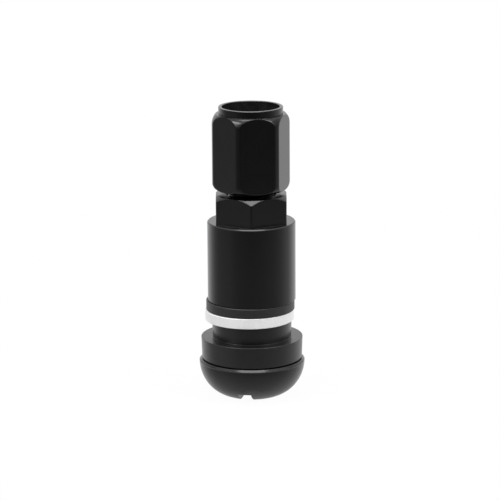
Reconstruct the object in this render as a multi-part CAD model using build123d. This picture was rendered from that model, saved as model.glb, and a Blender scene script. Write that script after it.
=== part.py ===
from build123d import *
import os
from math import cos, radians, tan

# A clamp-in tyre valve, in millimetres.
# Z points along the stem to the cap. Z = 0 is the top of the grommet's flange, which seats on the
# inner face of the rim, and the origin is the middle of the rim's hole.

# Foot of the stem
foot_radius = 8.62
foot_height = 6.25
foot_flat_radius = 3.05
foot_edge_chamfer = 0.45
slot_width = 2.15
slot_depth = 1.65
slot_turn = -11.0

# Stem
rim_thread_radius = 5.00
rim_thread_length = 19.60
rim_thread_chamfer = 0.50
relief_radius = 3.30
relief_length = 0.90
valve_thread_radius = 3.85
tip_chamfer = 0.45
thread_ease = 0.05
bore_ease = 0.15
air_bore_radius = 1.30

# Rim and grommet, whose neck is a wall round the stem and whose flange is just narrower than the foot
rim_gap = 2.91
neck_wall = 1.50
neck_taper = 0.30
neck_root_radius = 0.10
flange_height = 3.63
flange_inset = 0.32
flange_taper = 0.12
flange_edge_radius = 0.12
flange_foot_rounding = 0.25

# Washers, which reach just past the sleeve over them and lie a little to one side
clamp_washer_reach = 0.08
clamp_washer_thickness = 1.68
clamp_washer_play = 0.50
clamp_washer_chamfer = 0.18
clamp_washer_shift = -0.39
friction_washer_reach = 0.05
friction_washer_thickness = 1.60
friction_washer_shift = -0.23
friction_washer_chamfer = 0.10
friction_washer_play = 0.30

# Sleeve nut
sleeve_wall = 2.17
sleeve_length = 13.11
sleeve_top_chamfer = 0.18
sleeve_foot_chamfer = 0.12
nut_corner_inset = 0.57
nut_hex_height = 4.48
nut_chamfer_inset = 0.13
nut_chamfer_angle = 38.0
nut_turn = 30.0
nut_thread_length = 10.80
drill_point_angle = 59.0
spigot_wall = 0.65
spigot_length = 0.70
lip_height = 0.40
lip_reach = 0.35

# Cap
cap_gap = 0.66
cap_height = 13.64
cap_across_flats = 11.38
cap_corner_radius = 6.36
cap_turn = 11.2
collar_radius = 5.22
collar_height = 1.15
collar_edge_chamfer = 0.06
shoulder_step = 0.12
shoulder_height = 1.80
cap_foot_rounding = 1.30
recess_radius = 4.68
recess_depth = 2.07
recess_corner_radius = 0.30
cap_web = 1.50
cap_mouth_chamfer = 0.35
cap_seal_thickness = 1.00
cap_seal_bore_radius = 2.75
cap_seal_ease = 0.08

# Chamber for the core, measured down from the tip of the stem
core_thread_radius = 2.60
core_thread_depth = 5.20
core_mouth_chamfer = 0.20
barrel_bore_radius = 2.25
seat_depth = 8.40
seat_height = 1.10
seat_foot_radius = 1.95
chamber_depth = 17.00

# Core: plug
core_top_depth = 0.45
tang_height = 1.50
tang_width = 4.40
tang_thickness = 2.20
tang_window_width = 2.30
tang_window_height = 0.85
plug_thread_length = 2.70
plug_neck_radius = 1.43
plug_neck_length = 0.65
plug_flange_radius = 1.75
plug_flange_height = 0.50
plug_bore_radius = 1.12
air_slot_width = 1.10
swivel_ease = 0.07

# Core: barrel and gasket
barrel_radius = 2.08
barrel_crimp_height = 0.18
barrel_shoulder_depth = 3.00
groove_radius = 1.65
groove_height = 1.30
groove_drop = 0.15
barrel_nose_radius = 1.75
lip_radius = 1.50
lip_length = 0.50
nose_length = 1.00
barrel_air_radius = 0.85
gasket_ease = 0.04

# Core: pin, spring, cup and seal
pin_radius = 0.50
pin_hole_ease = 0.12
pin_tip_depth = 0.25
pin_collar_radius = 1.05
pin_collar_height = 0.30
pin_collar_drop = 3.45
rivet_radius = 0.85
rivet_height = 0.35
spring_wire_radius = 0.16
spring_turns = 7
spring_end_gap = 0.02
cup_wall = 0.20
cup_floor = 0.25
cup_rim_drop = 0.30
core_seal_radius = 1.60
core_seal_thickness = 0.90
core_seal_ease = 0.04

# How closely edges are found by their height
same_height = 0.001

# Heights along the stem, which follow from the sizes above
foot_top = -flange_height
foot_bottom = foot_top - foot_height
clamp_washer_top = rim_gap + clamp_washer_thickness
nut_bottom = clamp_washer_top + friction_washer_thickness
nut_shoulder = nut_bottom + sleeve_length
nut_top = nut_shoulder + nut_hex_height
cap_bottom = nut_top + cap_gap
cap_top = cap_bottom + cap_height
recess_floor = cap_top - recess_depth
cap_bore_end = recess_floor - cap_web
stem_tip = cap_bore_end - cap_seal_thickness
rim_thread_top = foot_top + rim_thread_length

# Radii round the stem, which follow from its foot and its rim thread
neck_top_radius = rim_thread_radius + neck_wall
neck_foot_radius = neck_top_radius - neck_taper
flange_top_radius = foot_radius - flange_inset
flange_foot_radius = flange_top_radius - flange_taper
clamp_washer_bore_radius = rim_thread_radius + clamp_washer_play
sleeve_radius = rim_thread_radius + sleeve_wall
clamp_washer_radius = sleeve_radius + clamp_washer_reach
friction_washer_radius = sleeve_radius + friction_washer_reach
nut_corner_radius = sleeve_radius - nut_corner_inset
nut_across_flats = 2 * nut_corner_radius * cos(radians(30))
nut_chamfer_circle_radius = nut_across_flats / 2 - nut_chamfer_inset

# Radii of the fits, which follow from the threads and their play
nut_bore_radius = rim_thread_radius + thread_ease
nut_hex_bore_radius = valve_thread_radius + bore_ease
cap_bore_radius = valve_thread_radius + thread_ease
core_bore_radius = core_thread_radius + thread_ease
spigot_radius = nut_bore_radius + spigot_wall
spigot_lip_radius = spigot_radius + lip_reach

# Heights in the core
core_thread_foot = stem_tip - core_thread_depth
seat_top = stem_tip - seat_depth
seat_foot = seat_top - seat_height
core_top = stem_tip - core_top_depth
plug_top = core_top - tang_height
plug_bottom = plug_top - plug_thread_length
plug_flange_top = plug_bottom - plug_neck_length
plug_foot = plug_flange_top - plug_flange_height
barrel_chamber_top = plug_flange_top + swivel_ease
barrel_top = barrel_chamber_top + barrel_crimp_height
barrel_chamber_floor = plug_foot - swivel_ease
groove_top = seat_top + groove_drop
groove_foot = groove_top - groove_height
nose_foot = groove_foot - nose_length
barrel_foot = nose_foot - lip_length
spring_floor = barrel_top - barrel_shoulder_depth
pin_tip = stem_tip - pin_tip_depth
pin_collar_foot = core_top - pin_collar_drop
core_seal_foot = barrel_foot - core_seal_thickness
cup_foot = core_seal_foot - cup_floor
pin_foot = cup_foot - rivet_height


def turned(*edges):
    """The solid that a closed outline of radius and height sweeps round the stem's axis."""
    return revolve(Plane.XZ * make_face(Wire(edges)), Axis.Z)


def turned_profile(*points):
    """A turned solid whose outline is straight from point to point."""
    return turned(*Polyline(*points, close=True).edges())


def hexagon(across_flats, turn, bottom, top):
    """A hexagonal bar between two heights, with a corner at the given angle from X."""
    face = RegularPolygon(across_flats / 2, 6, major_radius=False, rotation=turn)
    return extrude(Pos(0, 0, bottom) * face, top - bottom)


def drilled(radius, bottom, top):
    """A plain round hole or pin on the axis, between two heights."""
    return Pos(0, 0, bottom) * extrude(Circle(radius), top - bottom)


def rims_at(body, height):
    """The body's round edges at a height, from the smallest to the largest."""
    rims = body.edges().filter_by(GeomType.CIRCLE)
    rims = rims.filter_by_position(Axis.Z, height - same_height, height + same_height)
    return rims.sort_by(SortBy.RADIUS)


def valve_stem():
    """The domed foot, slotted across its bottom, and the stepped stem that stands on it."""
    rim_edge = foot_top - foot_edge_chamfer
    body = turned(
        Line((0, foot_bottom), (foot_flat_radius, foot_bottom)),
        EllipticalCenterArc(
            (foot_flat_radius, rim_edge),
            foot_radius - foot_flat_radius,
            foot_height - foot_edge_chamfer,
            start_angle=-90,
            arc_size=90,
        ),
        Line((foot_radius, rim_edge), (foot_radius - foot_edge_chamfer, foot_top)),
        Line((foot_radius - foot_edge_chamfer, foot_top), (rim_thread_radius, foot_top)),
        Line(
            (rim_thread_radius, foot_top),
            (rim_thread_radius, rim_thread_top - rim_thread_chamfer),
        ),
        Line(
            (rim_thread_radius, rim_thread_top - rim_thread_chamfer),
            (rim_thread_radius - rim_thread_chamfer, rim_thread_top),
        ),
        Line((rim_thread_radius - rim_thread_chamfer, rim_thread_top), (relief_radius, rim_thread_top)),
        Line((relief_radius, rim_thread_top), (relief_radius, rim_thread_top + relief_length)),
        Line(
            (relief_radius, rim_thread_top + relief_length),
            (valve_thread_radius, rim_thread_top + relief_length + valve_thread_radius - relief_radius),
        ),
        Line(
            (valve_thread_radius, rim_thread_top + relief_length + valve_thread_radius - relief_radius),
            (valve_thread_radius, stem_tip - tip_chamfer),
        ),
        Line((valve_thread_radius, stem_tip - tip_chamfer), (valve_thread_radius - tip_chamfer, stem_tip)),
        Line((valve_thread_radius - tip_chamfer, stem_tip), (0, stem_tip)),
        Line((0, stem_tip), (0, foot_bottom)),
    )
    return body - core_chamber() - foot_slot()


def core_chamber():
    """The stepped bore: core thread, barrel bore, cone that the gasket seats on, and air bore."""
    chamber_foot = stem_tip - chamber_depth
    cone_foot = chamber_foot - (seat_foot_radius - air_bore_radius) * tan(radians(90 - drill_point_angle))
    return turned_profile(
        (0, foot_bottom - 1),
        (air_bore_radius, foot_bottom - 1),
        (air_bore_radius, cone_foot),
        (seat_foot_radius, chamber_foot),
        (seat_foot_radius, seat_foot),
        (barrel_bore_radius, seat_top),
        (barrel_bore_radius, core_thread_foot),
        (core_bore_radius, core_thread_foot),
        (core_bore_radius, stem_tip - core_mouth_chamfer),
        (core_bore_radius + core_mouth_chamfer, stem_tip),
        (core_bore_radius + core_mouth_chamfer, stem_tip + 1),
        (0, stem_tip + 1),
    )


def foot_slot():
    """The slot across the bottom of the foot, which keeps the stem from turning."""
    cut = Box(slot_width, 3 * foot_radius, 2 * slot_depth)
    return Pos(0, 0, foot_bottom) * Rot(0, 0, slot_turn) * cut


def rim_grommet():
    """The rubber grommet: a tapered neck in the rim's hole over a wide flange inside the rim."""
    bore = rim_thread_radius + thread_ease
    body = turned_profile(
        (bore, foot_top),
        (flange_foot_radius, foot_top),
        (flange_top_radius, 0),
        (neck_foot_radius, 0),
        (neck_top_radius, rim_gap),
        (bore, rim_gap),
    )
    body = fillet(rims_at(body, 0)[-1], flange_edge_radius)
    body = fillet(rims_at(body, foot_top)[-1], flange_foot_rounding)
    return fillet(rims_at(body, 0)[0], neck_root_radius)


def clamp_washer():
    """The bright washer that presses on the grommet's neck and on the outer face of the rim."""
    edge = clamp_washer_chamfer
    ring = turned_profile(
        (clamp_washer_bore_radius, rim_gap),
        (clamp_washer_radius - edge, rim_gap),
        (clamp_washer_radius, rim_gap + edge),
        (clamp_washer_radius, clamp_washer_top - edge),
        (clamp_washer_radius - edge, clamp_washer_top),
        (clamp_washer_bore_radius, clamp_washer_top),
    )
    return Pos(clamp_washer_shift, 0, 0) * ring


def friction_washer():
    """The nylon washer, held on the nut's spigot by the lip that its counterbore hides."""
    bore = spigot_radius + friction_washer_play
    counterbore = spigot_lip_radius + friction_washer_play
    lip_room = friction_washer_thickness - spigot_length + swivel_ease
    edge = friction_washer_chamfer
    ring = turned_profile(
        (counterbore, clamp_washer_top),
        (friction_washer_radius - edge, clamp_washer_top),
        (friction_washer_radius, clamp_washer_top + edge),
        (friction_washer_radius, nut_bottom - edge),
        (friction_washer_radius - edge, nut_bottom),
        (bore, nut_bottom),
        (bore, clamp_washer_top + lip_room),
        (counterbore, clamp_washer_top + lip_room),
    )
    return Pos(friction_washer_shift, 0, 0) * ring


def sleeve_nut():
    """The clamping nut: a hexagon on a long sleeve, with the washer's spigot under it."""
    spigot_foot = nut_bottom - spigot_length
    lip_foot = spigot_foot - lip_height
    sleeve = turned_profile(
        (0, nut_bottom),
        (sleeve_radius - sleeve_foot_chamfer, nut_bottom),
        (sleeve_radius, nut_bottom + sleeve_foot_chamfer),
        (sleeve_radius, nut_shoulder - sleeve_top_chamfer),
        (sleeve_radius - sleeve_top_chamfer, nut_shoulder),
        (0, nut_shoulder),
    )
    spigot = turned_profile(
        (0, lip_foot),
        (spigot_lip_radius, lip_foot),
        (spigot_lip_radius, spigot_foot),
        (spigot_radius, spigot_foot),
        (spigot_radius, nut_bottom),
        (0, nut_bottom),
    )
    corner = nut_corner_radius + 1
    corner_drop = (corner - nut_chamfer_circle_radius) * tan(radians(nut_chamfer_angle))
    chamfered = turned_profile(
        (0, nut_shoulder),
        (corner, nut_shoulder),
        (corner, nut_top - corner_drop),
        (nut_chamfer_circle_radius, nut_top),
        (0, nut_top),
    )
    head = hexagon(nut_across_flats, nut_turn, nut_shoulder, nut_top) & chamfered
    thread_end = nut_bottom + nut_thread_length
    drill_rise = (nut_bore_radius - nut_hex_bore_radius) * tan(radians(90 - drill_point_angle))
    bore = turned_profile(
        (0, lip_foot - 1),
        (nut_bore_radius, lip_foot - 1),
        (nut_bore_radius, thread_end),
        (nut_hex_bore_radius, thread_end + drill_rise),
        (nut_hex_bore_radius, nut_top + 1),
        (0, nut_top + 1),
    )
    return sleeve + spigot + head - bore


def cap_shell():
    """The hexagonal cap, rounded at both ends, with a collar round the recess in its top."""
    collar_foot = cap_top - collar_height
    shoulder_radius = collar_radius + shoulder_step
    base_radius = cap_corner_radius - cap_foot_rounding
    edge = collar_edge_chamfer
    rounded = turned(
        Line((0, cap_bottom), (base_radius, cap_bottom)),
        TangentArc(
            (base_radius, cap_bottom),
            (cap_corner_radius, cap_bottom + cap_foot_rounding),
            tangent=(1, 0),
        ),
        Line(
            (cap_corner_radius, cap_bottom + cap_foot_rounding),
            (cap_corner_radius, collar_foot - shoulder_height),
        ),
        TangentArc(
            (cap_corner_radius, collar_foot - shoulder_height),
            (shoulder_radius, collar_foot),
            tangent=(0, 1),
        ),
        Line((shoulder_radius, collar_foot), (0, collar_foot)),
        Line((0, collar_foot), (0, cap_bottom)),
    )
    body = hexagon(cap_across_flats, cap_turn, cap_bottom, collar_foot) & rounded
    collar = turned_profile(
        (0, recess_floor - cap_web),
        (collar_radius, recess_floor - cap_web),
        (collar_radius, cap_top - edge),
        (collar_radius - edge, cap_top),
        (0, cap_top),
    )
    recess = turned(
        Line((0, recess_floor), (recess_radius - recess_corner_radius, recess_floor)),
        TangentArc(
            (recess_radius - recess_corner_radius, recess_floor),
            (recess_radius, recess_floor + recess_corner_radius),
            tangent=(1, 0),
        ),
        Line((recess_radius, recess_floor + recess_corner_radius), (recess_radius, cap_top - edge)),
        Line((recess_radius, cap_top - edge), (recess_radius + 2 * edge, cap_top + edge)),
        Line((recess_radius + 2 * edge, cap_top + edge), (0, cap_top + edge)),
        Line((0, cap_top + edge), (0, recess_floor)),
    )
    bore = turned_profile(
        (0, cap_bottom - cap_mouth_chamfer),
        (cap_bore_radius + 2 * cap_mouth_chamfer, cap_bottom - cap_mouth_chamfer),
        (cap_bore_radius, cap_bottom + cap_mouth_chamfer),
        (cap_bore_radius, cap_bore_end),
        (0, cap_bore_end),
    )
    return body + collar - recess - bore


def cap_seal():
    """The rubber ring in the end of the cap's bore, which closes on the tip of the stem."""
    radius = cap_bore_radius - cap_seal_ease
    ring = drilled(radius, stem_tip, cap_bore_end)
    return ring - drilled(cap_seal_bore_radius, stem_tip, cap_bore_end)


def core_plug():
    """The threaded plug: a flat tang with a window on top, and a swivel flange at its foot."""
    body = turned_profile(
        (0, plug_foot),
        (plug_flange_radius, plug_foot),
        (plug_flange_radius, plug_flange_top),
        (plug_neck_radius, plug_flange_top),
        (plug_neck_radius, plug_bottom),
        (core_thread_radius - core_mouth_chamfer, plug_bottom),
        (core_thread_radius, plug_bottom + core_mouth_chamfer),
        (core_thread_radius, plug_top - core_mouth_chamfer),
        (core_thread_radius - core_mouth_chamfer, plug_top),
        (0, plug_top),
    )
    tang_middle = plug_top + tang_height / 2
    blade = Pos(0, 0, tang_middle) * Box(tang_width, tang_thickness, tang_height)
    blade = blade & drilled(tang_width / 2, plug_top, core_top)
    window = Pos(0, 0, plug_top + tang_window_height / 2)
    window = window * Box(tang_window_width, 2 * tang_thickness, tang_window_height)
    air_slot = Pos(0, 0, plug_bottom + plug_thread_length / 2)
    air_slot = air_slot * Box(air_slot_width, 3 * core_thread_radius, plug_thread_length)
    outside = drilled(core_thread_radius + 1, plug_bottom, plug_top)
    outside = outside - drilled(plug_neck_radius + swivel_ease, plug_bottom, plug_top)
    bore = drilled(plug_bore_radius, plug_foot, plug_top)
    pin_hole = drilled(pin_radius + pin_hole_ease, plug_foot, core_top)
    return body + blade - window - (air_slot & outside) - bore - pin_hole


def core_barrel():
    """The barrel: crimped over the plug's flange, grooved for the gasket, with the valve's lip."""
    chamber_radius = plug_flange_radius + swivel_ease
    crimp_radius = plug_neck_radius + swivel_ease
    body = turned_profile(
        (0, barrel_foot),
        (lip_radius, barrel_foot),
        (lip_radius, nose_foot),
        (barrel_nose_radius, nose_foot),
        (barrel_nose_radius, groove_foot),
        (groove_radius, groove_foot),
        (groove_radius, groove_top),
        (barrel_radius, groove_top),
        (barrel_radius, barrel_top),
        (0, barrel_top),
    )
    spring_bore = plug_bore_radius + swivel_ease
    bore = turned_profile(
        (0, barrel_foot),
        (barrel_air_radius, barrel_foot),
        (barrel_air_radius, spring_floor),
        (spring_bore, spring_floor),
        (spring_bore, barrel_chamber_floor),
        (chamber_radius, barrel_chamber_floor),
        (chamber_radius, barrel_chamber_top),
        (crimp_radius, barrel_chamber_top),
        (crimp_radius, barrel_top),
        (0, barrel_top),
    )
    return body - bore


def core_gasket():
    """The tapered ring in the barrel's groove, which closes on the cone in the stem."""
    slope = (barrel_bore_radius - seat_foot_radius) / seat_height
    top_radius = barrel_bore_radius - gasket_ease
    narrow_radius = top_radius - slope * (seat_top - groove_foot)
    return turned_profile(
        (groove_radius, groove_foot),
        (narrow_radius, groove_foot),
        (top_radius, seat_top),
        (top_radius, groove_top),
        (groove_radius, groove_top),
    )


def core_pin():
    """The pin: its tip, the collar that the spring lifts, and the rivet under the cup."""
    return turned_profile(
        (0, pin_foot),
        (rivet_radius, pin_foot),
        (rivet_radius, cup_foot),
        (pin_radius, cup_foot),
        (pin_radius, pin_collar_foot),
        (pin_collar_radius, pin_collar_foot),
        (pin_collar_radius, pin_collar_foot + pin_collar_height),
        (pin_radius, pin_collar_foot + pin_collar_height),
        (pin_radius, pin_tip - pin_radius / 2),
        (pin_radius / 2, pin_tip),
        (0, pin_tip),
    )


def core_spring():
    """The coil spring between the barrel's inner shoulder and the pin's collar."""
    bottom = spring_floor + spring_wire_radius + spring_end_gap
    top = pin_collar_foot - spring_wire_radius - spring_end_gap
    middle_radius = (pin_radius + plug_bore_radius) / 2
    coil = Helix((top - bottom) / spring_turns, top - bottom, middle_radius)
    wire = Plane(coil @ 0, z_dir=coil % 0) * Circle(spring_wire_radius)
    return Pos(0, 0, bottom) * sweep(wire, path=coil, is_frenet=True)


def core_cup():
    """The cup that holds the seal, riveted on the pin."""
    rim = barrel_foot - cup_rim_drop
    inner = core_seal_radius + core_seal_ease
    body = drilled(inner + cup_wall, cup_foot, rim)
    return body - drilled(inner, core_seal_foot, rim) - drilled(pin_radius, cup_foot, rim)


def core_seal():
    """The rubber ring in the cup, which closes on the barrel's lip."""
    ring = drilled(core_seal_radius, core_seal_foot, barrel_foot)
    return ring - drilled(pin_radius + core_seal_ease, core_seal_foot, barrel_foot)


pieces = {
    "valve_stem": valve_stem,
    "rim_grommet": rim_grommet,
    "clamp_washer": clamp_washer,
    "friction_washer": friction_washer,
    "sleeve_nut": sleeve_nut,
    "cap_shell": cap_shell,
    "cap_seal": cap_seal,
    "core_plug": core_plug,
    "core_barrel": core_barrel,
    "core_gasket": core_gasket,
    "core_pin": core_pin,
    "core_spring": core_spring,
    "core_cup": core_cup,
    "core_seal": core_seal,
}

os.makedirs("parts", exist_ok=True)
for name, make in pieces.items():
    solid = make()
    solid.label = name
    export_step(solid, f"parts/{name}.step")
print("length", round(cap_top - foot_bottom, 3), "foot", 2 * foot_radius)
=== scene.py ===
import bmesh
import bpy
import numpy as np
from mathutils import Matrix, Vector


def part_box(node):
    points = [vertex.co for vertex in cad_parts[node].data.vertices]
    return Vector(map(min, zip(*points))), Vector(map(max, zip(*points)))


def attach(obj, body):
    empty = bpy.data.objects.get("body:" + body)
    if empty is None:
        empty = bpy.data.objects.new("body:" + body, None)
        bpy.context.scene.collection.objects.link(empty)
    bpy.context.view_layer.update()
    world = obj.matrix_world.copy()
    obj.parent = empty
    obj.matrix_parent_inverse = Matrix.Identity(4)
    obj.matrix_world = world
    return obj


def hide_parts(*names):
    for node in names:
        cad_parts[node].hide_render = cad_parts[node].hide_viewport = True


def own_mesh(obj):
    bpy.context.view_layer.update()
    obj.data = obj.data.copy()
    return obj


# A clamp-in tyre valve, dressed for the studio. Named lengths are millimetres and named angles are
# degrees, and MM turns lengths into the frame's metres. Heights and widths come from the frame's own
# nodes where a node's box gives them.

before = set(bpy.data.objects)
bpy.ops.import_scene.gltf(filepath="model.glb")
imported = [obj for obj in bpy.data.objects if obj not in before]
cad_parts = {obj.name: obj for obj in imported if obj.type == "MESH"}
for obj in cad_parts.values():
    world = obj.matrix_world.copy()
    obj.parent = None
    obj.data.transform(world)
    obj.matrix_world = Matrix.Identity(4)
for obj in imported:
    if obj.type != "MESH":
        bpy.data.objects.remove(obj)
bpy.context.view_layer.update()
MM = 0.001


def heights(node):
    """A node's lowest and highest point, in millimetres."""
    low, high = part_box(node)
    return low.z / MM, high.z / MM


def across(node):
    """A round node's radius and the place of its axis along X, in millimetres."""
    low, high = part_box(node)
    return (high.x - low.x) / 2 / MM, (high.x + low.x) / 2 / MM


# Stem and foot
foot_bottom, stem_tip = heights("valve_stem")
foot_top, rim_gap = heights("rim_grommet")
foot_radius = across("valve_stem")[0]
foot_flat_radius = 3.05
foot_edge_chamfer = 0.31
foot_edge_rounding = 0.015
slot_half_width = 1.075
slot_depth = 1.65
slot_draft = 0.005
slot_edge_rounding = 0.07
slot_border = 0.14
slot_turn = -11.0
air_bore_radius = 1.30
rim_thread_radius = 5.00
rim_thread_lead = 0.40
rim_thread_top = foot_top + 19.60
rim_thread_chamfer = 0.50
rim_pitch = 1.00
relief_radius = 3.30
relief_length = 0.90
valve_thread_radius = 3.85
valve_thread_lead = 0.07
valve_pitch = 25.4 / 32
thread_depth_share = 0.60
thread_margin = 0.05
tip_chamfer = 0.45
core_bore_radius = 2.65
core_bore_chamfer = 0.20
core_thread_foot = stem_tip - 5.20
barrel_bore_radius = 2.25
seat_top = stem_tip - 8.40
seat_foot_radius = 1.95
seat_foot = seat_top - 1.10
chamber_foot = stem_tip - 17.00
drill_rise = 0.39
air_bore_top = chamber_foot - 2.00
air_bore_foot = foot_bottom + slot_depth + 0.50

# Grommet and washers
flange_radius = across("rim_grommet")[0]
flange_taper = 0.12
flange_edge_rounding = 0.08
flange_foot_rounding = 0.34
neck_foot_radius = 6.42
neck_top_radius = 6.50
neck_root_rounding = 0.04
neck_top_rounding = 0.08
clamp_washer_top = heights("clamp_washer")[1]
clamp_washer_radius, clamp_washer_shift = across("clamp_washer")
clamp_washer_bore_radius = 5.50
clamp_washer_chamfer = 0.06
nut_bottom = heights("friction_washer")[1]
friction_washer_radius, friction_washer_shift = across("friction_washer")
friction_washer_chamfer = 0.10
friction_bore_radius = 6.00
friction_counterbore_radius = 6.35
friction_lip_height = 0.97

# Sleeve nut
lip_foot, nut_top = heights("sleeve_nut")
sleeve_radius = across("sleeve_nut")[0]
nut_shoulder = nut_bottom + 13.11
sleeve_top_chamfer = 0.18
sleeve_foot_chamfer = 0.12
spigot_radius = 5.70
spigot_lip_radius = 6.05
spigot_foot = nut_bottom - 0.70
nut_bore_radius = 5.05
nut_bore_start = lip_foot + 0.30
nut_hex_bore_radius = 4.00
nut_hex_bore_chamfer = 0.15
nut_thread_end = nut_bottom + 10.80
nut_drill_rise = 0.63
nut_flat_radius = 5.71
nut_flat_reach = 29.0
nut_corner_radius = 6.54
nut_chamfer_circle_radius = 5.80
nut_chamfer_slope = np.tan(np.radians(45.5))
nut_turn = 30.0

# Cap
cap_bottom, cap_top = heights("cap_shell")
cap_bore_end = heights("cap_seal")[1]
cap_flat_radius = 5.685
cap_corner_radius = 6.35
cap_turn = 11.2
collar_radius = 5.22
collar_foot = cap_top - 1.15
collar_edge_chamfer = 0.06
shoulder_radius = collar_radius + 0.45
shoulder_height = 1.66
cap_foot_rounding = 1.30
recess_radius = 4.68
recess_floor = cap_top - 2.07
recess_corner_rounding = 0.30
cap_bore_radius = 3.90
cap_mouth_chamfer = 0.35
cap_thread_foot = cap_bottom + cap_mouth_chamfer + 0.30
cap_thread_top = cap_bore_end - 0.50

# The core's spring
spring_foot, spring_top = heights("core_spring")
spring_wire_radius = 0.16
spring_mean_radius = 0.81
spring_turns = 7

# How edges are rounded, from the sharpest, and inner corners
crisp_edge = 0.02
fine_edge = 0.03
broken_edge = 0.04
soft_edge = 0.05
inner_corner = 0.10
hex_edge_ease = 0.07

# How far paths and rows start beside the shape that they join
edge_step = 0.03
rim_lead = 0.20
nut_shoulder_lead = 0.15
nut_top_lead = 0.50
nut_top_edge_step = 0.035
cap_foot_lead = 0.06

# How finely surfaces are divided: columns, steps, and shares of the way from one row to another
turned_columns = 144
foot_columns = 61
foot_steps = 49
wire_steps_per_turn = 32
wire_sides = 14
support = 0.025
near_both_ends = [0, 0.004, 0.012, 0.03, 0.08, 0.3, 0.5, 0.7, 0.92, 0.97, 0.988, 0.996, 1]
along_the_chamfer = [0.03, 0.08, 0.2, 0.45, 0.7, 0.9, 0.97]


# Profiles and surfaces

def rounded_path(corners, steps=4):
    """The profile through corners of radius, height and rounding, as rows of radius and height.

    Each inner corner becomes an arc that touches both its sides. Its ends stand off by the rounding
    times the tangent of half the turn, and it sweeps from one side's normal to the other's. A point
    just outside each end of the arc keeps the straight sides' shading flat.
    """
    corners = np.array(corners, float)
    point, rounding = corners[:, :2], corners[1:-1, 2:]
    side = np.diff(point, axis=0)
    side /= np.linalg.norm(side, axis=1, keepdims=True)
    before, after = side[:-1], side[1:]
    turn = np.arccos(np.clip((before * after).sum(1, keepdims=True), -1, 1))
    turn = np.maximum(turn, 1e-4)
    middle = after - before
    middle /= np.maximum(np.linalg.norm(middle, axis=1, keepdims=True), 1e-9)
    start = point[1:-1] - before * rounding * np.tan(turn / 2)
    end = point[1:-1] + after * rounding * np.tan(turn / 2)
    centre = point[1:-1] + middle * rounding / np.cos(turn / 2)
    share = np.linspace(0, 1, steps + 1)[None, :, None]
    sweep = turn[:, None, :]
    to_start, to_end = (start - centre)[:, None], (end - centre)[:, None]
    arc = np.sin((1 - share) * sweep) * to_start + np.sin(share * sweep) * to_end
    arc = centre[:, None] + arc / np.sin(sweep)
    outside_start, outside_end = (start - before * support)[:, None], (end + after * support)[:, None]
    rows = np.concatenate([outside_start, arc, outside_end], axis=1)
    return np.concatenate([point[:1], rows.reshape(-1, 2), point[-1:]])


def ring_points(radius, angle, height):
    """Points from radius, angle in radians and height, spread to one grid."""
    radius, angle, height = np.broadcast_arrays(radius, angle, height)
    return np.stack([radius * np.cos(angle), radius * np.sin(angle), height], axis=-1)


def turned_rows(path, angles):
    """A turned surface: each profile point of radius and height goes round the axis through the angles."""
    radius, height = path[:, :1], path[:, 1:2]
    return ring_points(radius, np.radians(angles), height)


def closed_ring(corners):
    """A ring turned from a closed profile, started in the middle of its first side."""
    corners = np.array(corners, float)
    start = (corners[0] + corners[1]) / 2
    start[2] = 0
    path = rounded_path(np.concatenate([[start], corners[1:], corners[:1], [start]]))
    return turned_rows(path, np.linspace(0, 360, turned_columns + 1))


def thread_rows(radius, bottom, top, pitch, angles):
    """A right-hand screw thread between two heights, whose rows climb with the helix.

    A row's height is the pitch times its own count of turns plus the angle's share of a turn, held
    between the two ends. Its radius falls from the crest to the root by the tooth's share, with
    flat crests and roots, and the tooth fades out over the last half turn at each end.
    """
    depth = thread_depth_share * pitch
    share = np.array([0.0, 0.12, 0.16, 0.44, 0.49, 0.63, 0.68, 0.96])
    fall = np.array([0.0, 0.0, 0.10, 0.92, 1.0, 1.0, 0.92, 0.10])
    first, last = np.floor(bottom / pitch) - 2, np.ceil(top / pitch) + 1
    count = np.arange(first, last)[:, None] + share
    turns = np.asarray(angles, float)[None, :] / 360
    height = pitch * (count.reshape(-1, 1) + turns)
    fall = np.broadcast_to(fall, count.shape).reshape(-1, 1)
    height = np.clip(height, bottom, top)
    fade = np.clip(np.minimum(height - bottom, top - height) / (pitch / 2), 0, 1)
    return ring_points(radius - depth * fade * fall, np.radians(angles)[None, :], height)


def eased_smaller(a, b, ease):
    """The smaller of two radii, rounded off where they cross, over a difference of the ease."""
    share = np.clip(0.5 + (b - a) / (2 * ease), 0, 1)
    return b + (a - b) * share - ease * share * (1 - share)


def hex_angles(turn, reach):
    """Angles round a hexagonal bar, and each angle from its own flat's middle.

    They lie closer together beside each flat's edge, which is at the reach from its middle.
    """
    beside = np.array([-2.6, -1.2, -0.55, -0.2, 0, 0.2, 0.55, 1.2, 2.6])
    inside = np.linspace(-reach + 4, reach - 4, 13)
    corner = np.arange(reach + 3.4, 30, 1.2)
    one_flat = np.concatenate([inside, beside - reach, beside + reach, corner, -corner, [-30]])
    one_flat = np.unique(np.round(one_flat[(one_flat >= -30) & (one_flat < 30)], 4))
    middles = turn + 30 + 60 * np.arange(6)
    angles = (middles[:, None] + one_flat).ravel()
    from_middle = np.tile(one_flat, 6)
    return np.append(angles, angles[0] + 360), np.append(from_middle, from_middle[0])


def between(low, high, shares):
    """Rows that lie at the given shares of the way from one row to another."""
    return low + (high - low) * np.asarray(shares, float)[:, None]


# Making the pieces

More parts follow.
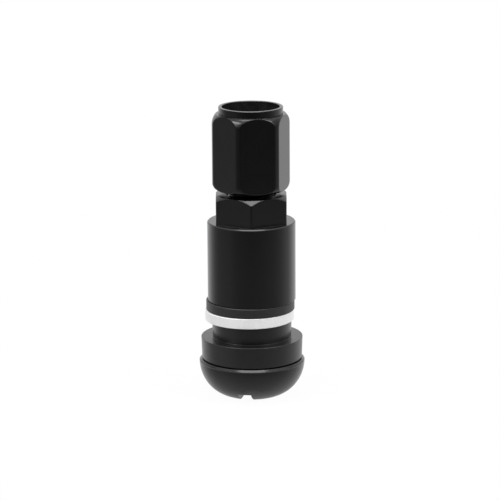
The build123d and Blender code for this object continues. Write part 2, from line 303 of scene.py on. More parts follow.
def grid_mesh(name, grid, layers):
    """A mesh from a grid of points in millimetres, with named values at each point.

    Each cell of the grid is a face that looks outwards where rows run up the outside and columns
    run anticlockwise. Points that coincide, at seams, poles and thread ends, are merged, and the
    faces that this leaves without area are dropped.
    """
    rows, columns = grid.shape[:2]
    place = np.arange(rows * columns).reshape(rows, columns)
    faces = np.stack([place[:-1, :-1], place[:-1, 1:], place[1:, 1:], place[1:, :-1]], axis=-1)
    mesh = bpy.data.meshes.new(name)
    mesh.from_pydata(grid.reshape(-1, 3) * MM, [], faces.reshape(-1, 4))
    for layer, share in layers.items():
        spread = np.broadcast_to(share, (rows, columns)).astype(np.float32)
        mesh.attributes.new(layer, "FLOAT", "POINT").data.foreach_set("value", spread.ravel())
    work = bmesh.new()
    work.from_mesh(mesh)
    bmesh.ops.remove_doubles(work, verts=work.verts, dist=2e-7)
    bmesh.ops.dissolve_degenerate(work, edges=work.edges, dist=1e-7)
    work.to_mesh(mesh)
    work.free()
    mesh.update()
    return mesh


def placed(name, mesh, finish):
    """An object in the scene that shows a mesh in its finish."""
    mesh.materials.append(finish)
    piece = bpy.data.objects.new(name, mesh)
    bpy.context.scene.collection.objects.link(piece)
    return piece


def dressed(name, grid, body, nodes, finish, shift=0.0, layers=None):
    """A smooth piece from a grid, shifted along X, which stands for CAD nodes and rides their body."""
    mesh = grid_mesh(name, grid + [shift, 0, 0], layers or {})
    mesh.shade_smooth()
    piece = placed(name, mesh, finish)
    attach(piece, body)
    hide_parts(*nodes)
    return piece


# The stem

def slot_section():
    """Distance from the slot's middle line and depth there, across half the slot and its broken edge."""
    wall = slot_half_width
    section = rounded_path([
        (0, slot_depth, 0),
        (0.3 * wall, slot_depth, 0),
        (0.6 * wall, slot_depth, 0),
        (wall - slot_draft, slot_depth, inner_corner),
        (wall + slot_draft, 0, slot_edge_rounding),
        (wall + slot_border, 0, 0),
    ])
    return section[:, 0], np.clip(section[:, 1], 0, slot_depth)


def fan_angles(radius):
    """Angles of the foot's columns at each radius, and the slot's depth on each column.

    Columns inside the slot keep their distance from its middle line, so their angle is the arc
    cosine of that distance over the radius. The columns beside it share out the rest of the circle.
    """
    across_slot, depth = slot_section()
    edge = np.arccos(across_slot[-1] / radius)
    share = np.linspace(-1, 1, foot_columns)
    half = np.concatenate([across_slot[::-1], -across_slot[1:]])[1:-1]
    half_depth = np.concatenate([depth[::-1], depth[1:]])[1:-1]
    inside = np.arccos(half / radius)
    right = share * edge
    angles = [right, inside, np.pi + right, np.pi + inside, right[:, :1] + 2 * np.pi]
    none = np.zeros(len(share))
    depths = np.concatenate([none, half_depth, none, half_depth, [0.0]])
    return np.concatenate(angles, axis=1) + np.radians(slot_turn), depths


def foot_rows():
    """The foot's bottom, from the air bore out: a flat, then a quarter ellipse that rises to the rim.

    Across the slot each point is raised by the slot's depth on its column, but never past the
    slot's flat floor, so the slot runs out where the ellipse has risen to that floor.
    """
    rise = foot_top - foot_edge_chamfer - foot_bottom
    reach = foot_radius - foot_flat_radius
    runs_out = np.degrees(np.arccos(1 - slot_depth / rise))
    swing = np.concatenate([np.linspace(0, 90, foot_steps), runs_out + np.array([-0.4, 0, 0.4])])
    swing = np.radians(np.sort(swing)[1:])
    bore_edge = air_bore_radius + edge_step
    flat = np.array([air_bore_radius, bore_edge, 1.5, 1.9, 2.3, 2.7, 3.0, foot_flat_radius])
    radius = np.concatenate([flat, foot_flat_radius + reach * np.sin(swing)])[:, None]
    height = np.concatenate([0 * flat, rise * (1 - np.cos(swing))])[:, None]
    angles, depths = fan_angles(radius)
    left = np.maximum(slot_depth - height, 0)
    return ring_points(radius, angles, foot_bottom + height + np.minimum(depths, left))


def stem_grid():
    """The whole stem as one closed surface: foot, rim thread, valve thread, bores, and back to the foot.

    The first point of the path up from the foot only gives the rim's direction, and is dropped.
    """
    rim_edge = foot_top - foot_edge_chamfer
    rim_angles = fan_angles(np.array([[foot_radius]]))[0][0]
    bore_angles = fan_angles(np.array([[air_bore_radius]]))[0][0]
    columns = np.degrees(rim_angles)
    rim_thread_start = rim_gap + rim_thread_lead
    rim_thread_end = rim_thread_top - rim_thread_chamfer - thread_margin
    up_to_rim_thread = rounded_path([
        (foot_radius, rim_edge - rim_lead, 0),
        (foot_radius, rim_edge, foot_edge_rounding),
        (foot_radius - foot_edge_chamfer, foot_top, fine_edge),
        (rim_thread_radius, foot_top, inner_corner),
        (rim_thread_radius, rim_thread_start, 0),
    ])[1:]
    relief_top = rim_thread_top + relief_length + valve_thread_radius - relief_radius
    valve_thread_start = relief_top + valve_thread_lead
    valve_thread_end = stem_tip - tip_chamfer - thread_margin
    up_to_valve_thread = rounded_path([
        (rim_thread_radius, rim_thread_end, 0),
        (rim_thread_radius, rim_thread_top - rim_thread_chamfer, broken_edge),
        (rim_thread_radius - rim_thread_chamfer, rim_thread_top, broken_edge),
        (relief_radius, rim_thread_top, inner_corner),
        (relief_radius, rim_thread_top + relief_length, inner_corner),
        (valve_thread_radius, relief_top, broken_edge),
        (valve_thread_radius, valve_thread_start, 0),
    ])
    down_the_bore = rounded_path([
        (valve_thread_radius, valve_thread_end, 0),
        (valve_thread_radius, stem_tip - tip_chamfer, broken_edge),
        (valve_thread_radius - tip_chamfer, stem_tip, broken_edge),
        (core_bore_radius + core_bore_chamfer, stem_tip, broken_edge),
        (core_bore_radius, stem_tip - core_bore_chamfer, broken_edge),
        (core_bore_radius, core_thread_foot, soft_edge),
        (barrel_bore_radius, core_thread_foot, broken_edge),
        (barrel_bore_radius, seat_top, broken_edge),
        (seat_foot_radius, seat_foot, broken_edge),
        (seat_foot_radius, chamber_foot, broken_edge),
        (air_bore_radius, chamber_foot - drill_rise, broken_edge),
        (air_bore_radius, air_bore_top, 0),
    ])
    shares = np.linspace(0, 1, 10)[1:]
    air_bore_angles = between(rim_angles, bore_angles, shares)
    air_bore_heights = between(air_bore_top, air_bore_foot, shares)
    foot = foot_rows()
    return np.concatenate([
        foot,
        turned_rows(up_to_rim_thread, columns),
        thread_rows(rim_thread_radius, rim_thread_start, rim_thread_end, rim_pitch, columns),
        turned_rows(up_to_valve_thread, columns),
        thread_rows(valve_thread_radius, valve_thread_start, valve_thread_end, valve_pitch, columns),
        turned_rows(down_the_bore, columns),
        ring_points(air_bore_radius, air_bore_angles, air_bore_heights),
        foot[:1],
    ])


# Grommet and washers

def grommet_grid():
    """The grommet: bore, wide flange that narrows to the foot, and the neck that fills the rim's hole."""
    bore = rim_thread_radius + soft_edge
    return closed_ring([
        (bore, foot_top, broken_edge),
        (flange_radius - flange_taper, foot_top, flange_foot_rounding),
        (flange_radius, 0, flange_edge_rounding),
        (neck_foot_radius, 0, neck_root_rounding),
        (neck_top_radius, rim_gap, neck_top_rounding),
        (bore, rim_gap, broken_edge),
    ])


def clamp_washer_grid():
    """The bright washer, with both its outer edges chamfered."""
    edge, outer = clamp_washer_chamfer, clamp_washer_radius
    return closed_ring([
        (clamp_washer_bore_radius, rim_gap, broken_edge),
        (outer - edge, rim_gap, crisp_edge),
        (outer, rim_gap + edge, crisp_edge),
        (outer, clamp_washer_top - edge, crisp_edge),
        (outer - edge, clamp_washer_top, crisp_edge),
        (clamp_washer_bore_radius, clamp_washer_top, broken_edge),
    ])


def friction_washer_grid():
    """The nylon washer, with the counterbore for the lip of the nut's spigot."""
    edge, outer = friction_washer_chamfer, friction_washer_radius
    lip_top = clamp_washer_top + friction_lip_height
    return closed_ring([
        (friction_counterbore_radius, clamp_washer_top, broken_edge),
        (outer - edge, clamp_washer_top, fine_edge),
        (outer, clamp_washer_top + edge, fine_edge),
        (outer, nut_bottom - edge, fine_edge),
        (outer - edge, nut_bottom, fine_edge),
        (friction_bore_radius, nut_bottom, broken_edge),
        (friction_bore_radius, lip_top, broken_edge),
        (friction_counterbore_radius, lip_top, broken_edge),
    ])


# Sleeve nut

def nut_grid():
    """The nut as one closed surface, and how far each point of it is drawn bar and not turned.

    The hexagon's radius is the eased smaller of the flat's distance over the cosine of the angle
    from its middle and a turned limit: the broken corner, then the cone of the top chamfer. The
    last row of the flats lies on the curve where the cone cuts them, and just below the top in the
    middle of each flat, which the cone doesn't reach.
    """
    angles, from_middle = hex_angles(nut_turn, nut_flat_reach)
    radians = np.radians(angles)[None, :]
    flat = nut_flat_radius / np.cos(np.radians(from_middle))[None, :]
    bar = np.minimum(flat, nut_corner_radius)
    cut = nut_top - (bar - nut_chamfer_circle_radius) * nut_chamfer_slope
    cut = np.minimum(cut, nut_top - edge_step)
    bar_heights = between(nut_shoulder + 0 * cut, cut, near_both_ends)
    cone_heights = between(cut, nut_top + 0 * cut, along_the_chamfer)
    height = np.concatenate([bar_heights, cone_heights])
    limit = nut_chamfer_circle_radius + (nut_top - height) / nut_chamfer_slope
    limit = eased_smaller(np.full_like(height, nut_corner_radius), limit, hex_edge_ease / 2)
    outline = eased_smaller(flat, limit, hex_edge_ease)
    sleeve_top_radius = sleeve_radius - sleeve_top_chamfer
    sleeve = rounded_path([
        (nut_bore_radius, nut_bore_start, 0),
        (nut_bore_radius, lip_foot, broken_edge),
        (spigot_lip_radius, lip_foot, broken_edge),
        (spigot_lip_radius, spigot_foot, broken_edge),
        (spigot_radius, spigot_foot, broken_edge),
        (spigot_radius, nut_bottom, broken_edge),
        (sleeve_radius - sleeve_foot_chamfer, nut_bottom, fine_edge),
        (sleeve_radius, nut_bottom + sleeve_foot_chamfer, fine_edge),
        (sleeve_radius, nut_shoulder - sleeve_top_chamfer, soft_edge),
        (sleeve_top_radius, nut_shoulder, soft_edge),
        (sleeve_top_radius - nut_shoulder_lead, nut_shoulder, 0),
    ])
    shoulder = between(0 * outline[:1] + sleeve[-1, 0], outline[:1] + edge_step, [0.5, 1.0])
    bore = rounded_path([
        (nut_hex_bore_radius + nut_top_lead, nut_top, 0),
        (nut_hex_bore_radius + nut_hex_bore_chamfer, nut_top, broken_edge),
        (nut_hex_bore_radius, nut_top - nut_hex_bore_chamfer, broken_edge),
        (nut_hex_bore_radius, nut_thread_end + nut_drill_rise, broken_edge),
        (nut_bore_radius, nut_thread_end, broken_edge),
        (nut_bore_radius, nut_bore_start, 0),
    ])
    parts = [
        turned_rows(sleeve, angles),
        ring_points(shoulder, radians, nut_shoulder),
        ring_points(outline, radians, height),
        ring_points(outline[-1:] - nut_top_edge_step, radians, nut_top),
        turned_rows(bore, angles),
    ]
    drawn = [np.zeros(len(part)) for part in parts]
    drawn[2][:len(bar_heights)] = 1
    return np.concatenate(parts), np.concatenate(drawn)[:, None]


# Cap

def arc_radius(gain, rise):
    """The radius of an arc that leaves the vertical and drifts sideways by a gain over a rise."""
    return (gain**2 + rise**2) / (2 * gain)


def cap_grid():
    """The cap as one closed surface, and how far each point of it is drawn bar and not turned.

    The body's radius is the eased smaller of the flat's distance over the cosine of the angle from
    its middle and a turned limit: an arc at the foot, the broken corner, and an arc at the
    shoulder. The first and last rows of the flats lie on the curves where the arcs cut them.
    """
    angles, from_middle = hex_angles(cap_turn, np.degrees(np.arccos(cap_flat_radius / cap_corner_radius)))
    radians = np.radians(angles)[None, :]
    flat = cap_flat_radius / np.cos(np.radians(from_middle))[None, :]
    bar = np.minimum(flat, cap_corner_radius)
    foot_arc = cap_foot_rounding
    shoulder_arc = arc_radius(cap_corner_radius - shoulder_radius, shoulder_height)
    foot_end = cap_bottom + cap_foot_rounding
    shoulder_start = collar_foot - shoulder_height
    low_cut = foot_end - np.sqrt(foot_arc**2 - (bar - cap_corner_radius + foot_arc) ** 2)
    high_cut = shoulder_start + np.sqrt(shoulder_arc**2 - (bar - cap_corner_radius + shoulder_arc) ** 2)
    arc_shares = 1 - np.cos(np.linspace(0, np.pi / 2, 17))
    foot_heights = between(cap_bottom + 0 * bar, low_cut, arc_shares)[:-1]
    bar_heights = between(low_cut, high_cut, near_both_ends)
    shoulder_heights = between(high_cut, collar_foot + 0 * bar, np.linspace(0, 1, 15))[1:]
    height = np.concatenate([foot_heights, bar_heights, shoulder_heights])
    below = np.clip(foot_end - height, 0, None)
    above = np.clip(height - shoulder_start, 0, None)
    limit = cap_corner_radius - foot_arc + np.sqrt(np.maximum(foot_arc**2 - below**2, 0))
    limit = limit - shoulder_arc + np.sqrt(np.maximum(shoulder_arc**2 - above**2, 0))
    mouth = rounded_path([
        (cap_bore_radius, cap_thread_foot, 0),
        (cap_bore_radius, cap_bottom + cap_mouth_chamfer, broken_edge),
        (cap_bore_radius + cap_mouth_chamfer, cap_bottom, broken_edge),
        (cap_corner_radius - cap_foot_rounding - cap_foot_lead, cap_bottom, 0),
    ])
    collar = rounded_path([
        (shoulder_radius - edge_step, collar_foot, 0),
        (collar_radius, collar_foot, fine_edge),
        (collar_radius, cap_top - collar_edge_chamfer, crisp_edge),
        (collar_radius - collar_edge_chamfer, cap_top, crisp_edge),
        (recess_radius + collar_edge_chamfer, cap_top, crisp_edge),
        (recess_radius, cap_top - collar_edge_chamfer, crisp_edge),
        (recess_radius, recess_floor, recess_corner_rounding),
        (0, recess_floor, 0),
    ], steps=6)
    ceiling = rounded_path([
        (0, cap_bore_end, 0),
        (cap_bore_radius, cap_bore_end, inner_corner),
        (cap_bore_radius, cap_thread_top, 0),
    ])
    parts = [
        turned_rows(ceiling, angles),
        thread_rows(cap_bore_radius, cap_thread_foot, cap_thread_top, valve_pitch, angles)[::-1],
        turned_rows(mouth, angles),
        ring_points(eased_smaller(flat, limit, hex_edge_ease), radians, height),
        turned_rows(collar, angles),
    ]
    drawn = [np.zeros(len(part)) for part in parts]
    drawn[3][len(foot_heights):len(foot_heights) + len(bar_heights)] = 1
    return np.concatenate(parts), np.concatenate(drawn)[:, None]


# The core's spring

def spring_grid():
    """Round wire round a right-handed helix, with flat ends whose edges are broken.

    The wire's middle line turns and rises evenly at the mean radius. Its circle stands square to
    that line, on the way outwards and on the way up that is square to both.
    """
    low, high = spring_foot + spring_wire_radius, spring_top - spring_wire_radius
    share = np.linspace(0, 1, wire_steps_per_turn * spring_turns + 1)[1:-1]
    share = np.concatenate([[0, 0, 0.001], share, [0.999, 1, 1]])[:, None]
    wire = np.full(len(share), spring_wire_radius)
    wire[[0, -1]], wire[[1, -2]] = 0, spring_wire_radius - fine_edge
    angle = share * spring_turns * 2 * np.pi
    round_wire = np.linspace(2 * np.pi, 0, wire_sides + 1)[None, :]
    outwards = np.stack([np.cos(angle), np.sin(angle), 0 * angle], axis=-1)
    aside = np.stack([-np.sin(angle), np.cos(angle), 0 * angle], axis=-1)
    along_z = np.array([0, 0, 1.0])
    lead = np.arctan2(high - low, 2 * np.pi * spring_turns * spring_mean_radius)
    upwards = np.cos(lead) * along_z - np.sin(lead) * aside
    middle = spring_mean_radius * outwards + (low + share * (high - low))[..., None] * along_z
    out_share = (wire[:, None] * np.cos(round_wire))[..., None]
    up_share = (wire[:, None] * np.sin(round_wire))[..., None]
    return middle + out_share * outwards + up_share * upwards


# Finishes: the darker and the lighter tone of each, and the lowest and highest roughness
white = (1, 1, 1, 1)
anodised_tones = (0.0007, 0.0007, 0.0008), (0.0013, 0.0013, 0.0014)
anodised_roughness = 0.19, 0.23
anodised_refraction = 1.53
# Lighter tone along edges: partly wear, partly a painted highlight.
wear_and_highlight_tone = 0.022, 0.022, 0.022
# Lighter film inside the cap's recess, partly dust and partly painted light, and how far past the recess's
# wall and floor it reaches.
recess_dust_and_light_tone = 0.012, 0.012, 0.012
film_past_wall = 0.01
film_past_floor = 0.05
aluminium_tones = (0.93, 0.93, 0.935), (0.98, 0.98, 0.98)
aluminium_roughness = 0.60, 0.68
aluminium_metal_share = 0.55
nylon_tones = (0.014, 0.014, 0.015), (0.019, 0.019, 0.020)
nylon_roughness = 0.40, 0.50
rubber_tones = (0.0040, 0.0040, 0.0042), (0.0080, 0.0078, 0.0075)
rubber_roughness = 0.27, 0.34
rubber_refraction = 1.6
brass_tones = (0.52, 0.36, 0.15), (0.70, 0.52, 0.25)
brass_roughness = 0.24, 0.40
steel_tones = (0.36, 0.36, 0.37), (0.50, 0.50, 0.51)
steel_roughness = 0.25, 0.42


def feed(tree, node, inputs):
    """Gives a node's inputs their values, and links those that are sockets."""
    for key, value in inputs.items():
        if isinstance(value, bpy.types.NodeSocket):
            tree.links.new(value, node.inputs[key])
        else:
            node.inputs[key].default_value = value


def add(tree, kind, inputs=None, **settings):
    """A new node with its settings and its inputs."""
    made = tree.nodes.new(kind)
    for key, value in settings.items():
        setattr(made, key, value)
    feed(tree, made, inputs or {})
    return made


def emptied(holder):
    """The node tree of a material or a world, emptied."""
    holder.use_nodes = True
    holder.node_tree.nodes.clear()
    return holder.node_tree


def object_place(tree):
    """Where a point is in its own piece."""
    return add(tree, "ShaderNodeTexCoord").outputs["Object"]


def new_finish(name):
    """A material that shows its shader, with its node tree, that shader, and the place of each point."""
    finish = bpy.data.materials.new(name)
    tree = emptied(finish)
    shader = add(tree, "ShaderNodeBsdfPrincipled")
    add(tree, "ShaderNodeOutputMaterial", {"Surface": shader.outputs[0]})
    return finish, tree, shader, object_place(tree)


def noise(tree, place, period, detail=2.0, roughness=0.5, **settings):
    """Noise from 0 to 1 whose lumps are about a period across, in millimetres."""
    inputs = {"Vector": place, "Scale": 1 / (period * MM), "Detail": detail, "Roughness": roughness}
    return add(tree, "ShaderNodeTexNoise", inputs, **settings).outputs["Fac"]


def scaled(tree, value, low, high, start=0.3, end=0.7):
    """A value mapped from one range to another, held at the ends."""
    inputs = {"Value": value, "From Min": start, "From Max": end, "To Min": low, "To Max": high}
    return add(tree, "ShaderNodeMapRange", inputs).outputs["Result"]


def math(tree, operation, a, b):
    """A sum, product or other combination of two values."""
    return add(tree, "ShaderNodeMath", {0: a, 1: b}, operation=operation).outputs[0]


def shader_mix(tree, share, under, over):
    """A surface between two, by a share."""
    return add(tree, "ShaderNodeMixShader", {0: share, 1: under, 2: over}).outputs[0]


def tone_mix(tree, share, under, over):
    """A tone between two, by a share. Each is three numbers or a socket."""
    under, over = [tone if isinstance(tone, bpy.types.NodeSocket) else (*tone, 1) for tone in (under, over)]
    return add(tree, "ShaderNodeMix", {0: share, 6: under, 7: over}, data_type="RGBA").outputs[2]


def turned_place(tree, place):
    """The distance from the axis and the height of each point."""
    apart = add(tree, "ShaderNodeSeparateXYZ", {0: place}).outputs
    level = add(tree, "ShaderNodeCombineXYZ", {0: apart[0], 1: apart[1]}).outputs[0]
    return add(tree, "ShaderNodeVectorMath", {0: level}, operation="LENGTH").outputs["Value"], apart[2]


def turning_marks(tree, place, period):
    """Marks that run round the axis: noise over the distance from the axis and the height alone."""
    radius, height = turned_place(tree, place)
    ring = add(tree, "ShaderNodeCombineXYZ", {0: radius, 1: height}).outputs[0]
    return noise(tree, ring, period, detail=4.0, roughness=0.7, noise_dimensions="2D")


def drawn_out(tree, place, share):
    """The place of each point with its height cut to a share, which draws noise out along the axis."""
    return add(tree, "ShaderNodeMapping", {"Vector": place, "Scale": (1, 1, share)}).outputs[0]


def worn_and_highlit_edges(tree, place, reach):
    """Wear and a painted highlight in patches along edges: where a normal softened over the reach turns from
    the surface's own.
    """
    soft = add(tree, "ShaderNodeBevel", {"Radius": reach * MM}, samples=4).outputs[0]
    own = add(tree, "ShaderNodeNewGeometry").outputs["Normal"]
    agreed = add(tree, "ShaderNodeVectorMath", {0: soft, 1: own}, operation="DOT_PRODUCT").outputs["Value"]
    patches = noise(tree, place, 0.5, detail=3.0)
    edge = scaled(tree, agreed, 1, 0, 0.90, 0.995)
    return math(tree, "MULTIPLY", edge, scaled(tree, patches, 0.15, 1, 0.35, 0.65))


def recess_dust_and_light(tree, place):
    """A lighter film inside the cap's top recess, partly dust and partly painted light, thicker here than
    there, and none elsewhere.
    """
    radius, height = turned_place(tree, place)
    within = math(tree, "LESS_THAN", radius, (recess_radius + film_past_wall) * MM)
    above = math(tree, "GREATER_THAN", height, (recess_floor - film_past_floor) * MM)
    film = scaled(tree, noise(tree, place, 1.2, detail=4.0), 0.35, 1.0)
    return math(tree, "MULTIPLY", math(tree, "MULTIPLY", within, above), film)


def raised(tree, height, depth):
    """The normal of a surface raised by a height from 0 to 1 times a depth in micrometres."""
    inputs = {"Height": height, "Strength": 1.0, "Distance": depth * MM / 1000}
    return add(tree, "ShaderNodeBump", inputs).outputs[0]


def black_anodised():
    """Black anodised aluminium: a near-black dyed skin with satin gloss over turned or drawn metal."""
    finish, tree, shader, place = new_finish("black_anodised_metal")
    turned = turning_marks(tree, place, 0.09)
    drawn = noise(tree, drawn_out(tree, place, 0.02), 0.12, detail=3.0, roughness=0.6)
    is_drawn = add(tree, "ShaderNodeAttribute", attribute_name="drawn").outputs["Fac"]
    marks = add(tree, "ShaderNodeMix", {0: is_drawn, 2: turned, 3: drawn}, data_type="FLOAT").outputs[0]
    cloud = noise(tree, place, 2.6, detail=3.0)
    grain = noise(tree, place, 0.05, detail=1.0)
    skin = tone_mix(tree, scaled(tree, cloud, 0, 1), *anodised_tones)
    # Lighter tone along the edges: partly wear, partly a painted highlight.
    worn_and_highlit = tone_mix(tree, worn_and_highlit_edges(tree, place, 0.05), skin, wear_and_highlight_tone)
    sheen = math(tree, "ADD", scaled(tree, marks, *anodised_roughness), scaled(tree, cloud, -0.01, 0.01))
    feed(tree, shader, {
        # Inside the recess a lighter film: partly dust, partly painted light.
        "Base Color": tone_mix(tree, recess_dust_and_light(tree, place), worn_and_highlit, recess_dust_and_light_tone),
        "Roughness": sheen,
        "IOR": anodised_refraction,
        "Normal": raised(tree, math(tree, "ADD", marks, math(tree, "MULTIPLY", grain, 0.25)), 0.2),
    })
    return finish


def bright_aluminium():
    """Turned aluminium: bright and satin, with fine rings, a few deeper ones, and dull patches."""
    finish, tree, shader, place = new_finish("bright_turned_aluminium")
    fine = turning_marks(tree, place, 0.07)
    coarse = turning_marks(tree, place, 0.40)
    cloud = noise(tree, place, 1.1, detail=3.0)
    scuffs = noise(tree, drawn_out(tree, place, 0.25), 0.35, detail=2.0)
    share = math(tree, "MULTIPLY", scaled(tree, cloud, 0.0, 1.0), scaled(tree, scuffs, 0.4, 1.0))
    rough = math(tree, "ADD", scaled(tree, fine, *aluminium_roughness), scaled(tree, scuffs, -0.05, 0.05))
    feed(tree, shader, {
        "Base Color": tone_mix(tree, share, *aluminium_tones),
        "Metallic": aluminium_metal_share,
        "Roughness": rough,
        "Normal": raised(tree, math(tree, "ADD", fine, math(tree, "MULTIPLY", coarse, 0.8)), 1.6),
    })
    return finish


def black_nylon():
    """Moulded black nylon: matt, with a fine grain and faint flow marks."""
    finish, tree, shader, place = new_finish("matt_black_nylon")
    grain = noise(tree, place, 0.06, detail=2.0)
    cloud = noise(tree, place, 0.9, detail=3.0)
    feed(tree, shader, {
        "Base Color": tone_mix(tree, scaled(tree, cloud, 0, 1), *nylon_tones),
        "Roughness": scaled(tree, grain, *nylon_roughness),
        "Normal": raised(tree, math(tree, "ADD", grain, cloud), 1.5),
    })
    return finish


def black_rubber():
    """Moulded black rubber: dull and a little uneven, with dust in its grain."""
    finish, tree, shader, place = new_finish("moulded_black_rubber")
    grain = noise(tree, place, 0.10, detail=3.0, roughness=0.65)
    cloud = noise(tree, place, 1.8, detail=3.0)
    dust = math(tree, "MULTIPLY", scaled(tree, grain, 0, 1, 0.5, 0.75), scaled(tree, cloud, 0.2, 1))
    feed(tree, shader, {
        "Base Color": tone_mix(tree, dust, *rubber_tones),
        "Roughness": scaled(tree, cloud, *rubber_roughness),
        "IOR": rubber_refraction,
        "Normal": raised(tree, math(tree, "ADD", grain, math(tree, "MULTIPLY", cloud, 3.0)), 0.8),
    })
    return finish


def bare_metal(name, marks_on, tones, roughness, lumps, detail, depth):
    """A metal whose tone changes over lumps, and whose roughness and height follow its marks."""
    finish, tree, shader, place = new_finish(name)
    marks = marks_on(tree, place)
    feed(tree, shader, {
        "Base Color": tone_mix(tree, scaled(tree, noise(tree, place, lumps, detail=detail), 0, 1), *tones),
        "Metallic": 1.0,
        "Roughness": scaled(tree, marks, *roughness),
        "Normal": raised(tree, marks, depth),
    })
    return finish


def core_brass():
    """Turned brass, a little dulled between its fine rings."""
    def rings(tree, place):
        return turning_marks(tree, place, 0.08)
    return bare_metal(
        "turned_brass", rings, brass_tones, brass_roughness, lumps=0.7, detail=3.0, depth=1.2,
    )


def spring_steel():
    """Drawn steel wire: grey, with fine scratches and a dull film."""
    def scratches(tree, place):
        return noise(tree, place, 0.05, detail=3.0)
    return bare_metal(
        "drawn_steel_wire", scratches, steel_tones, steel_roughness, lumps=0.5, detail=2.0, depth=0.8,
    )


# Studio: the camera stands at its distance and elevation from the point that it aims at
camera_elevation = 13.5
camera_distance = 428.0
camera_lens = 189.5
camera_roll = 0.35
aim = (-0.24, 0.0, 14.34)
room_light = 0.32

# The floor: how solid it is by the distance from the stem, and how much of it is plain white to the camera
# and in reflections, where the shadow under the foot stays
floor_radii = [0, 4, 8, 12, 18, 25, 40, 75, 110, 140, 170]
floor_solidity = [0.90, 0.75, 0.60, 0.45, 0.32, 0.24, 0.16, 0.20, 0.18, 0.10, 0]
floor_white_mirrored = [0.6, 0.3, 0, 0.10, 0.4, 0.7, 0.7, 0.7, 0.7, 0.7, 0.7]
floor_white_seen = 0.95
floor_clearance = 0.01
floor_tones = (0.80, 0.80, 0.80), (0.83, 0.83, 0.83)

# The dark screen round the front: its size, its tone, and how far it is open by the angle from the front
screen_radius = 260.0
screen_foot = -1500.0
screen_top = 240.0
screen_tone = 0.075
screen_angles = [-140, -127, -111, -98, -77, -58, -45, -25, 0, 25, 45, 60, 84, 95, 108, 122, 130]
screen_opening = [1, 0.75, 0.40, 0.20, 0.20, 0.20, 0.09, 0.03, 0, 0.03, 0.09, 0.12, 0.32, 0.5, 0.6, 0.87, 1]

# Soft boxes: name, place, width and depth, and brightness. They look at a point on the stem
soft_boxes = [
    ("overhead_box", (0.0, -50.0, 400.0), (280.0, 200.0), 4.4),
    ("front_left_box", (-340.0, -230.0, 290.0), (240.0, 240.0), 9.5),
    ("front_right_box", (340.0, -230.0, 290.0), (240.0, 240.0), 9.5),
]
lit_point = (0, 0, 15)


def pointed_at(thing, target):
    """Turns a lamp or camera so that it looks from its place at a target."""
    direction = Vector(target) * MM - thing.location
    thing.rotation_euler = direction.to_track_quat("-Z", "Y").to_euler()


def add_camera():
    """The camera at the photograph's height and framing, with its slight roll."""
    lens = bpy.data.cameras.new("camera")
    lens.lens = camera_lens
    lens.sensor_width = 36
    lens.clip_start = 0.01
    camera = bpy.data.objects.new("camera", lens)
    rise = np.radians(camera_elevation)
    back = np.array([0, -np.cos(rise), np.sin(rise)])
    camera.location = (np.array(aim) + camera_distance * back) * MM
    pointed_at(camera, aim)
    camera.rotation_euler.rotate_axis("Z", np.radians(-camera_roll))
    bpy.context.scene.collection.objects.link(camera)
    bpy.context.scene.camera = camera


def add_soft_boxes():
    """Large soft lamps above and in front, out of every camera's sight."""
    for name, place, size, brightness in soft_boxes:
        lamp = bpy.data.lights.new(name, "AREA")
        lamp.shape = "RECTANGLE"
        lamp.size, lamp.size_y = size[0] * MM, size[1] * MM
        lamp.energy = brightness * np.pi * lamp.size * lamp.size_y
        box = bpy.data.objects.new(name, lamp)
        box.location = np.array(place) * MM
        pointed_at(box, lit_point)
        box.visible_camera = False
        bpy.context.scene.collection.objects.link(box)


def ray_kinds(tree):
    """How far a ray comes from the camera, and how far from a surface that mirrors or passes it on."""
    path = add(tree, "ShaderNodeLightPath").outputs
    return path["Is Camera Ray"], math(tree, "MAXIMUM", path["Is Glossy Ray"], path["Is Transmission Ray"])


def add_room():
    """A white room, whose light on matt surfaces is dimmer and even."""
    world = bpy.data.worlds.new("room")
    bpy.context.scene.world = world
    tree = emptied(world)
    even = add(tree, "ShaderNodeBackground", {"Color": white, "Strength": room_light}).outputs[0]
    bright = add(tree, "ShaderNodeBackground", {"Color": white, "Strength": 1.0}).outputs[0]
    seen = math(tree, "MAXIMUM", *ray_kinds(tree))
    add(tree, "ShaderNodeOutputWorld", {"Surface": shader_mix(tree, seen, even, bright)})


def add_floor():
    """A pale floor under the foot that fades into the white room, and that can be seen through from below."""
    finish = bpy.data.materials.new("pale_floor")
    tree = emptied(finish)
    chalk = noise(tree, object_place(tree), 6.0, detail=4.0)
    tone = tone_mix(tree, scaled(tree, chalk, 0, 1), *floor_tones)
    matt = add(tree, "ShaderNodeBsdfDiffuse", {"Color": tone}).outputs[0]
    bright = add(tree, "ShaderNodeEmission", {"Color": white, "Strength": 1.0}).outputs[0]
    clear = add(tree, "ShaderNodeBsdfTransparent").outputs[0]
    from_camera, mirrored = ray_kinds(tree)
    share = add(tree, "ShaderNodeAttribute", attribute_name="white_mirrored").outputs["Fac"]
    lifted = math(tree, "MULTIPLY", from_camera, floor_white_seen)
    lifted = math(tree, "MAXIMUM", lifted, math(tree, "MULTIPLY", mirrored, share))
    solid = add(tree, "ShaderNodeAttribute", attribute_name="solidity").outputs["Fac"]
    above = math(tree, "SUBTRACT", 1.0, add(tree, "ShaderNodeNewGeometry").outputs["Backfacing"])
    kept = math(tree, "MULTIPLY", solid, above)
    surface = shader_mix(tree, kept, clear, shader_mix(tree, lifted, matt, bright))
    add(tree, "ShaderNodeOutputMaterial", {"Surface": surface})
    radius, angle = np.array(floor_radii, float)[:, None], np.radians(np.linspace(0, 360, 97))[None, ::-1]
    grid = ring_points(radius, angle, foot_bottom - floor_clearance)
    by_radius = {"solidity": floor_solidity, "white_mirrored": floor_white_mirrored}
    layers = {layer: np.array(shares)[:, None] for layer, shares in by_radius.items()}
    floor = placed("floor", grid_mesh("floor", grid, layers), finish)


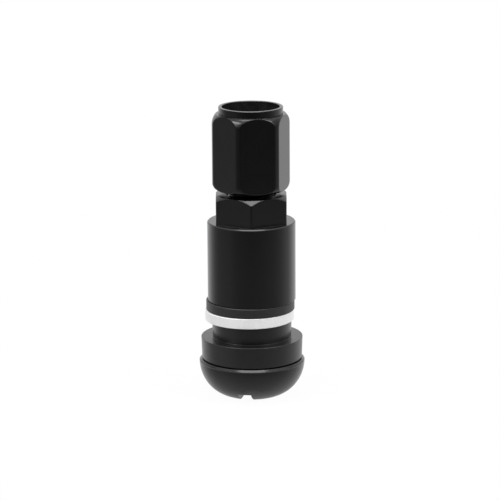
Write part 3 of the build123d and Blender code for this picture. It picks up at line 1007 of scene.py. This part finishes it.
def add_screen():
    """A dark screen round the front that only reflections show, and that opens to the room at its sides."""
    finish = bpy.data.materials.new("dark_screen")
    tree = emptied(finish)
    dark = add(tree, "ShaderNodeEmission", {"Color": white, "Strength": screen_tone}).outputs[0]
    clear = add(tree, "ShaderNodeBsdfTransparent").outputs[0]
    share = add(tree, "ShaderNodeAttribute", attribute_name="opening").outputs["Fac"]
    add(tree, "ShaderNodeOutputMaterial", {"Surface": shader_mix(tree, share, dark, clear)})
    turn = np.linspace(screen_angles[0], screen_angles[-1], 91)
    height = np.linspace(screen_foot, screen_top, 8)[:, None]
    grid = ring_points(screen_radius, np.radians(turn - 90)[None, :], height)
    layers = {"opening": np.interp(turn, screen_angles, screen_opening)[None, :]}
    screen = placed("screen", grid_mesh("screen", grid, layers), finish)
    screen.visible_camera = False
    screen.visible_shadow = False


# Putting it together

anodised, rubber, brass = black_anodised(), black_rubber(), core_brass()
dressed("stem", stem_grid(), "stem", ["valve_stem"], anodised)
dressed("grommet", grommet_grid(), "stem", ["rim_grommet"], rubber)
dressed(
    "bright_washer", clamp_washer_grid(), "stem", ["clamp_washer"], bright_aluminium(),
    shift=clamp_washer_shift,
)
dressed(
    "nylon_washer", friction_washer_grid(), "nut_washer", ["friction_washer"], black_nylon(),
    shift=friction_washer_shift,
)
nut_points, nut_drawn = nut_grid()
dressed("nut", nut_points, "nut", ["sleeve_nut"], anodised, layers={"drawn": nut_drawn})
cap_points, cap_drawn = cap_grid()
dressed("cap", cap_points, "cap", ["cap_shell"], anodised, layers={"drawn": cap_drawn})

spring = dressed("spring", spring_grid(), "core", ["core_spring"], spring_steel())
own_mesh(spring)

inner_finishes = {
    "cap_seal": rubber, "core_gasket": rubber, "core_seal": rubber,
    "core_plug": brass, "core_barrel": brass, "core_pin": brass, "core_cup": brass,
}
for node_name, node_finish in inner_finishes.items():
    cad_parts[node_name].data.materials.clear()
    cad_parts[node_name].data.materials.append(node_finish)

add_camera()
add_soft_boxes()
add_room()
add_floor()
add_screen()
bpy.context.scene.view_settings.view_transform = "Standard"
